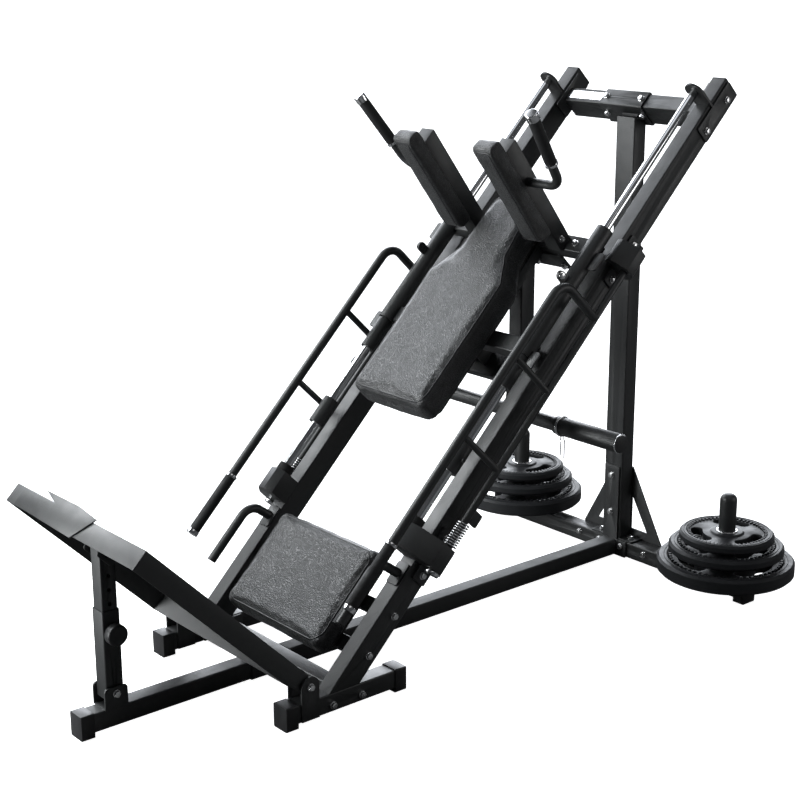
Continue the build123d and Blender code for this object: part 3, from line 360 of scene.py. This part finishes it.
def pucker(pad):
    """Ripple a cover softly, the way vinyl settles over foam."""
    normals = [vertex.normal.copy() for vertex in pad.data.vertices]
    for vertex, normal in zip(pad.data.vertices, normals):
        for scale, depth in PUCKERS:
            vertex.co += normal * depth * (ripple.noise(vertex.co * scale) - 0.4)
    pad.data.update()


def pad_from(node, name, back_normal, inset, reach, voxel=5 * MM, pressure=4.0):
    """A soft pad in the space of a plain CAD pad: remeshed, pulled in, swollen and smoothed."""
    pad = link_mesh(name, frame["nodes"][node].data.copy())
    remesh = pad.modifiers.new("voxels", "REMESH")
    remesh.mode = "VOXEL"
    remesh.voxel_size = voxel
    remesh.use_smooth_shade = True
    bake_modifiers(pad)
    normals = [vertex.normal.copy() for vertex in pad.data.vertices]
    for vertex, normal in zip(pad.data.vertices, normals):
        if normal.dot(back_normal) < 0.6:
            vertex.co -= normal * inset
    pad.data.update()
    normals = [vertex.normal.copy() for vertex in pad.data.vertices]
    held = {tuple(v.co) for v, n in zip(pad.data.vertices, normals) if n.dot(back_normal) > 0.6}
    swell(pad, lambda co: tuple(co) in held, pressure, reach)
    relax = pad.modifiers.new("relax", "SMOOTH")
    relax.factor = 0.5
    relax.iterations = 6
    refine = pad.modifiers.new("refine", "SUBSURF")
    refine.levels = 1
    refine.render_levels = 1
    bake_modifiers(pad)
    pucker(pad)
    for face in pad.data.polygons:
        face.use_smooth = True
    dress(pad, "leatherette")
    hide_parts(node)
    return pad


def rounded_loop(corners, radius, steps=10):
    """A closed outline with its corners turned into arcs, as (a, b) pairs."""
    loop = []
    count = len(corners)
    for i, corner in enumerate(corners):
        here = Vector(corner)
        before = (Vector(corners[i - 1]) - here).normalized()
        after = (Vector(corners[(i + 1) % count]) - here).normalized()
        half = before.angle(after) / 2
        cut = radius / math.tan(half)
        centre = here + (before + after).normalized() * radius / math.sin(half)
        first = here + before * cut - centre
        last = here + after * cut - centre
        for step in range(steps + 1):
            share = step / steps
            spoke = (first * (1 - share) + last * share).normalized() * radius
            loop.append(centre + spoke)
    return loop


def densify(loop, spacing):
    """Add points so that no step along a closed outline is longer than the spacing."""
    dense = []
    for i, point in enumerate(loop):
        following = loop[(i + 1) % len(loop)]
        pieces = max(1, int((following - point).length / spacing))
        dense += [point.lerp(following, k / pieces) for k in range(pieces)]
    return dense


def seam_on(pad, name, loop, place, direction, radius, body, sink=0.35):
    """A piped seam laid on a pad's surface along a closed outline."""
    tree = BVHTree.FromObject(pad, bpy.context.evaluated_depsgraph_get())
    points = []
    for pair in densify(loop, 4.0):
        hit = tree.ray_cast(place(*pair) - direction * 200 * MM, direction)[0]
        if hit:
            points.append(hit + direction * radius * sink)
    cord = tube_along(name, points, radius, closed=True)
    dress(cord, "black_plastic")
    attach(cord, body)
    return cord


PAD_INSET = 1 * MM
SEAM_INSET = 15.0
PIPING = 2.2 * MM
ABOVE_SEAT, ABOVE_BACK = 60.0, 170.0        # heights out of the rails from which seams are dropped
SEAT_OUTLINE = [(-1931, -213), (-1630, -213), (-1630, 213), (-1931, 213)]
BACK_OUTLINE = [(-1265, -153), (-850, -157), (-762, -104), (-573, -84),
                (-573, 84), (-762, 104), (-850, 157), (-1265, 153)]


def shrink_outline(corners, inset):
    """Move an outline's corners towards its middle, along each side's own square direction."""
    middle = sum((Vector(corner) for corner in corners), Vector((0, 0))) / len(corners)
    moved = []
    for i, corner in enumerate(corners):
        here = Vector(corner)
        before = (here - Vector(corners[i - 1])).normalized()
        after = (Vector(corners[(i + 1) % len(corners)]) - here).normalized()
        first = Vector((-before.y, before.x))
        second = Vector((-after.y, after.x))
        if first.dot(middle - here) < 0:
            first, second = -first, -second
        bisector = (first + second).normalized()
        moved.append(here + bisector * inset / max(0.3, bisector.dot(first)))
    return moved


seat_pad = pad_from("seat_pad", "seat_cushion", -rail_n, PAD_INSET, reach=6 * MM)
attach(seat_pad, "frame")
seat_loop = rounded_loop(shrink_outline(SEAT_OUTLINE, SEAM_INSET), radius=30.0)
seam_on(seat_pad, "seat_piping", seat_loop, lambda u, y: on_rail(u, y, ABOVE_SEAT), -rail_n,
        PIPING, "frame")

back_pad = pad_from("back_pad", "back_cushion", -rail_n, PAD_INSET, reach=6 * MM)
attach(back_pad, "carriage")
back_loop = rounded_loop(shrink_outline(BACK_OUTLINE, SEAM_INSET), radius=20.0)
seam_on(back_pad, "back_piping", back_loop, lambda u, y: on_rail(u, y, ABOVE_BACK), -rail_n,
        PIPING, "carriage")

shoulder_pad = pad_from("shoulder_pads", "shoulder_cushions", rail_u, PAD_INSET, reach=4 * MM)
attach(shoulder_pad, "carriage")
ARM_LEAN = 43.0 / 298.0
ARM_Y = 161.0
SHOULDER_FOOT_U, SHOULDER_FOOT_N = -715.0, 128.0
SHOULDER_SEAM = [(13, -25), (323, -25), (323, 25), (13, 25)]
SHOULDER_PIPING = 1.4 * MM
arm_rise = (rail_n + rail_u * ARM_LEAN).normalized()
pad_front = (-rail_u + rail_n * ARM_LEAN).normalized()


def shoulder_place(side):
    """Places on the front of one shoulder pad, from their distance up and across it."""
    base = on_rail(SHOULDER_FOOT_U, side * ARM_Y, SHOULDER_FOOT_N) + pad_front * 60 * MM
    return lambda up, across: base + arm_rise * (up * MM) + Vector((0, across * MM, 0))


for side, label in ((-1, "left"), (1, "right")):
    loop = rounded_loop(SHOULDER_SEAM, radius=12.0)
    seam_on(shoulder_pad, f"shoulder_piping_{label}", loop, shoulder_place(side), -pad_front,
            SHOULDER_PIPING, "carriage")

# ---------------------------------------------------------------- weight plates
TEETH = 56
STEP_DOWN = {"large": 9.0 * MM, "medium": 6.5 * MM, "small": 1.5 * MM}
RIM_SHARE = 0.86
RECESS_SHARE = 0.14
BEAD_OUT, BEAD_RADIUS, BEAD_POINTS = 7 * MM, 1.4 * MM, 120
TOOTH_LENGTH, TOOTH_EDGE, TOOTH_OVERLAP = 9 * MM, 0.7 * MM, 1.5 * MM
HUB_PROFILE = [(25.6, 0.1), (25.6, 1.6), (27.0, 2.2), (30.5, 1.9), (32.0, 0.1)]


def wedge(shape, place, size):
    """Add one tapered rib block to a mesh under construction."""
    made = bmesh.ops.create_cube(shape, size=1.0)["verts"]
    for vertex in made:
        if vertex.co.x < 0:
            vertex.co.y *= 0.6
        vertex.co.x *= size[0]
        vertex.co.y *= size[1]
        vertex.co.z *= size[2]
        vertex.co = place @ vertex.co


def plate_details(size, side):
    """The steel hub ring, the toothed rim and the raised bead of one stored plate."""
    node = f"plate_{size}_{side}"
    body = f"{size}_{side}"
    low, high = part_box(node)
    centre = (low + high) / 2
    radius = (high.x - low.x) / 2
    recess = (high.z - low.z) * RECESS_SHARE
    hub_top = Vector((centre.x, centre.y, high.z))
    rim_top = hub_top - Vector((0, 0, STEP_DOWN[size]))
    hub = lathe(f"{node}_hub_ring", [(r * MM, h * MM) for r, h in HUB_PROFILE], hub_top)
    dress(hub, "zinc")
    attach(hub, body)
    rim = radius * RIM_SHARE
    bead_line = [rim_top + Vector((math.cos(a), math.sin(a), 0)) * (rim + BEAD_OUT)
                 for a in (2 * math.pi * k / BEAD_POINTS for k in range(BEAD_POINTS))]
    bead = tube_along(f"{node}_bead", bead_line, BEAD_RADIUS, closed=True)
    dress(bead, "plate_rubber")
    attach(bead, body)
    shape = bmesh.new()
    reach = rim - recess - TOOTH_LENGTH / 2 + TOOTH_OVERLAP
    for index in range(TEETH):
        angle = 2 * math.pi * index / TEETH
        place = (Matrix.Translation(rim_top - Vector((0, 0, recess / 2)))
                 @ Matrix.Rotation(angle, 4, "Z")
                 @ Matrix.Translation((reach, 0, 0)))
        wedge(shape, place, (TOOTH_LENGTH, rim * math.pi / TEETH, recess * 0.9))
    mesh = bpy.data.meshes.new(f"{node}_teeth")
    shape.to_mesh(mesh)
    shape.free()
    teeth = link_mesh(f"{node}_teeth", mesh)
    edge = teeth.modifiers.new("edge", "BEVEL")
    edge.width = TOOTH_EDGE
    edge.segments = 2
    bake_modifiers(teeth)
    dress(teeth, "plate_rubber")
    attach(teeth, body)


for side in ("left", "right"):
    for size in ("large", "medium", "small"):
        plate_details(size, side)

# ---------------------------------------------------------------- small fittings
SLEEVE_RADIUS = 25.0 * MM
CLIP_WIRE = 1.7 * MM
CLIP_LEG = 62 * MM
CLIP_TURNS, CLIP_STEPS = 2, 40
CLIP_WIDTH = 9 * MM
COLLAR_WALL = 4 * MM


def wire_clip(side):
    """A spring clip of bright wire: two turns around the sleeve and two legs hanging from them."""
    node = f"spring_collar_{side}"
    low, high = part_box(node)
    middle = (low + high) / 2
    hand = 1 if middle.y > 0 else -1
    loop = SLEEVE_RADIUS + CLIP_WIRE
    centre = Vector((middle.x, middle.y, high.z - COLLAR_WALL - SLEEVE_RADIUS))
    points = []
    steps = CLIP_TURNS * CLIP_STEPS
    for step in range(steps + 1):
        share = step / steps
        angle = 2 * math.pi * CLIP_TURNS * share - math.pi / 2
        points.append(centre + Vector((math.cos(angle) * loop, hand * (share - 0.5) * CLIP_WIDTH,
                                       math.sin(angle) * loop)))
    drop = Vector((0, 0, -1))
    first = [points[0] + drop * length for length in (CLIP_LEG * 0.9, CLIP_LEG * 0.4)]
    last = [points[-1] + Vector((0, hand * 5 * MM, -12 * MM)),
            points[-1] + Vector((0, hand * 5 * MM, -CLIP_LEG))]
    clip = tube_along(f"wire_clip_{side}", first + points + last, CLIP_WIRE)
    dress(clip, "chrome")
    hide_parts(node)
    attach(clip, f"collar_{side}")


LOCK_BAR_N = 140.0
LOCK_GRIP_END = -1828.0
LOCK_TAIL = 38.0


def lock_tail(side, hand):
    """The bare end of a safety lock bar, below the bright band of its grip."""
    profile = [(0, 0), (12.5, 0), (12.5, LOCK_TAIL - 2), (10.5, LOCK_TAIL), (0, LOCK_TAIL)]
    tail = lathe(f"lock_tail_{side}", [(r * MM, h * MM) for r, h in profile],
                 on_rail(LOCK_GRIP_END, hand * -LOCK_Y / MM, LOCK_BAR_N), -rail_u, 48)
    dress(tail, "frame")
    soften_edges(tail, 0)
    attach(tail, f"lock_{side}")


def cap_rim(side, hand):
    """The thin bright edge around the end cap of a loading sleeve."""
    low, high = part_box("bar_end_caps")
    place = Vector(((low.x + high.x) / 2, high.y if hand > 0 else low.y, (low.z + high.z) / 2))
    profile = [(22.6, -5.6), (25.4, -6.4), (25.4, -4.6), (23.2, -3.2)]
    rim = lathe(f"cap_rim_{side}", [(r * MM, h * MM) for r, h in profile], place, (0, hand, 0))
    dress(rim, "chrome")
    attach(rim, "carriage")


TOP_U = -85.0
LABEL_Y = (110.0, 250.0)
LABEL_HALF = 14.0
LABEL_THICK = 0.5
LABEL_CORNER = 4.0


def blank_label():
    """A bright blank label on the front of the top cross tube."""
    tube = frame["nodes"]["top_cross_tube"]
    tree = BVHTree.FromObject(tube, bpy.context.evaluated_depsgraph_get())
    above = on_rail(TOP_U, sum(LABEL_Y) / 2, 300)
    face = tree.ray_cast(above, -rail_n)[0]
    lift = (face - on_rail(TOP_U, 0, 0)).dot(rail_n) / MM
    outline = rounded_loop([(TOP_U - LABEL_HALF, LABEL_Y[0]), (TOP_U + LABEL_HALF, LABEL_Y[0]),
                            (TOP_U + LABEL_HALF, LABEL_Y[1]), (TOP_U - LABEL_HALF, LABEL_Y[1])],
                           LABEL_CORNER, steps=5)
    shape = bmesh.new()
    lower = [shape.verts.new(on_rail(u, y, lift)) for u, y in outline]
    upper = [shape.verts.new(on_rail(u, y, lift + LABEL_THICK)) for u, y in outline]
    shape.faces.new(upper)
    shape.faces.new(lower[::-1])
    for i in range(len(outline)):
        j = (i + 1) % len(outline)
        shape.faces.new((lower[i], lower[j], upper[j], upper[i]))
    bmesh.ops.recalc_face_normals(shape, faces=shape.faces)
    mesh = bpy.data.meshes.new("blank_label")
    shape.to_mesh(mesh)
    shape.free()
    label = link_mesh("blank_label", mesh)
    dress(label, "zinc")
    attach(label, "frame")


blank_label()
for side, hand in (("left", -1), ("right", 1)):
    wire_clip(side)
    cap_rim(side, hand)
lock_tail("left", -1)

# ---------------------------------------------------------------- studio
CAMERA_PLACE = Vector((-2.6845, -3.1854, 1.8370))
AZIMUTH, ELEVATION, ROLL = math.radians(-39.797), math.radians(15.770), math.radians(-0.162)
LENS = 71.588
SENSOR = 36.0
FLOOR_REACH = 60.0
FLOOR_BOUNCE = 0.14
FLOOR_GLOW = 0.97
WALLS = 0.06
STUDIO_TINT = (0.95, 0.99, 1.05)
# direction each glow comes from, half width in degrees, brightness
GLOWS = (((0.62, 0.74, 0.20), 40.0, 6.5), ((-0.26, 0.74, 0.61), 26.0, 2.4),
         ((0.0, 0.74, 0.67), 15.0, 5.0), ((0.1, 0.0, 1.0), 24.0, 0.8))
COOL = (0.96, 0.99, 1.0)
NEUTRAL = (1.0, 1.0, 1.0)
# name, place, target, size, power, colour
LIGHTS = (("key", (-1.7, 2.5, 2.7), (-0.5, 0, 0.4), (2.2, 1.6), 115, COOL),
          ("left_panel", (-3.6, 1.4, 0.9), (-0.6, 0, 0.5), (1.6, 1.8), 150, COOL),
          ("right_panel", (2.6, -3.2, 1.6), (0.6, 0, 0.9), (1.4, 2.0), 22, NEUTRAL),
          ("floor_wash", (-1.0, -3.0, 4.0), (-0.3, -1.2, 0), (3.0, 2.0), 10, NEUTRAL))


def make_camera():
    """The camera, aimed by its azimuth, elevation and roll."""
    forward = -Vector((math.sin(AZIMUTH) * math.cos(ELEVATION),
                       -math.cos(AZIMUTH) * math.cos(ELEVATION), math.sin(ELEVATION)))
    right = forward.cross(Vector((0, 0, 1))).normalized()
    up = right.cross(forward)
    right, up = (right * math.cos(ROLL) + up * math.sin(ROLL),
                 up * math.cos(ROLL) - right * math.sin(ROLL))
    data = bpy.data.cameras.new("camera")
    data.lens = LENS
    data.sensor_width = SENSOR
    camera = bpy.data.objects.new("camera", data)
    camera.matrix_world = Matrix.Translation(CAMERA_PLACE) @ Matrix(
        (right, up, -forward)).transposed().to_4x4()
    bpy.context.scene.collection.objects.link(camera)
    bpy.context.scene.camera = camera


def make_floor():
    """A plain floor: white with soft shadows to the camera, and grey in the machine's reflections."""
    mesh = bpy.data.meshes.new("floor")
    corners = [(x * FLOOR_REACH, y * FLOOR_REACH, 0)
               for x, y in ((-1, -1), (1, -1), (1, 1), (-1, 1))]
    mesh.from_pydata(corners, [], [(0, 1, 2, 3)])
    floor = link_mesh("floor", mesh)
    material, link, shader, add = new_material("floor")
    place = object_space(add, link)
    path = add("ShaderNodeLightPath")
    seen = add("ShaderNodeMix", data_type="RGBA")
    tint = blend_color(add, link, noise(add, link, place, 2.0), (0.94, 0.94, 0.94),
                       (0.96, 0.96, 0.96))
    link(path.outputs["Is Camera Ray"], seen.inputs["Factor"])
    seen.inputs["A"].default_value = (FLOOR_BOUNCE, FLOOR_BOUNCE, FLOOR_BOUNCE, 1)
    link(tint, seen.inputs["B"])
    link(seen.outputs["Result"], shader.inputs["Base Color"])
    glow = add("ShaderNodeMath", operation="MULTIPLY")
    link(path.outputs["Is Camera Ray"], glow.inputs[0])
    glow.inputs[1].default_value = FLOOR_GLOW
    shader.inputs["Emission Color"].default_value = (1, 1, 1, 1)
    link(glow.outputs["Value"], shader.inputs["Emission Strength"])
    shader.inputs["Roughness"].default_value = 0.9
    shader.inputs["Specular IOR Level"].default_value = 0.0
    floor.data.materials.append(material)


def make_light(name, place, target, size, power, color):
    """A soft rectangular studio light."""
    data = bpy.data.lights.new(name, "AREA")
    data.shape = "RECTANGLE"
    data.size, data.size_y = size
    data.energy = power
    data.color = color
    light = bpy.data.objects.new(name, data)
    light.location = place
    aim = Vector(target) - Vector(place)
    light.rotation_euler = aim.to_track_quat("-Z", "Y").to_euler()
    bpy.context.scene.collection.objects.link(light)


def make_world():
    """The studio: white to the camera, and dark walls with soft glows to everything else."""
    world = bpy.data.worlds.new("studio")
    bpy.context.scene.world = world
    world.use_nodes = True
    tree = world.node_tree
    link = tree.links.new
    place = tree.nodes.new("ShaderNodeTexCoord")
    shade = None
    for direction, width, strength in GLOWS:
        dot = tree.nodes.new("ShaderNodeVectorMath")
        dot.operation = "DOT_PRODUCT"
        dot.inputs[1].default_value = Vector(direction).normalized()
        link(place.outputs["Generated"], dot.inputs[0])
        lobe = tree.nodes.new("ShaderNodeMapRange")
        lobe.interpolation_type = "SMOOTHSTEP"
        lobe.inputs["From Min"].default_value = math.cos(math.radians(width))
        lobe.inputs["To Min"].default_value = 0.0
        lobe.inputs["To Max"].default_value = strength
        link(dot.outputs["Value"], lobe.inputs["Value"])
        total = tree.nodes.new("ShaderNodeMath")
        total.operation = "ADD"
        total.inputs[0].default_value = WALLS
        if shade:
            link(shade, total.inputs[0])
        link(lobe.outputs["Result"], total.inputs[1])
        shade = total.outputs["Value"]
    path = tree.nodes.new("ShaderNodeLightPath")
    mix = tree.nodes.new("ShaderNodeMix")
    mix.data_type = "RGBA"
    mix.inputs["B"].default_value = (1, 1, 1, 1)
    tint = tree.nodes.new("ShaderNodeVectorMath")
    tint.operation = "SCALE"
    tint.inputs[0].default_value = STUDIO_TINT
    link(shade, tint.inputs["Scale"])
    link(path.outputs["Is Camera Ray"], mix.inputs["Factor"])
    link(tint.outputs["Vector"], mix.inputs["A"])
    link(mix.outputs["Result"], tree.nodes["Background"].inputs["Color"])


make_camera()
make_floor()
make_world()
for light in LIGHTS:
    make_light(*light)
bpy.context.scene.view_settings.view_transform = "Standard"
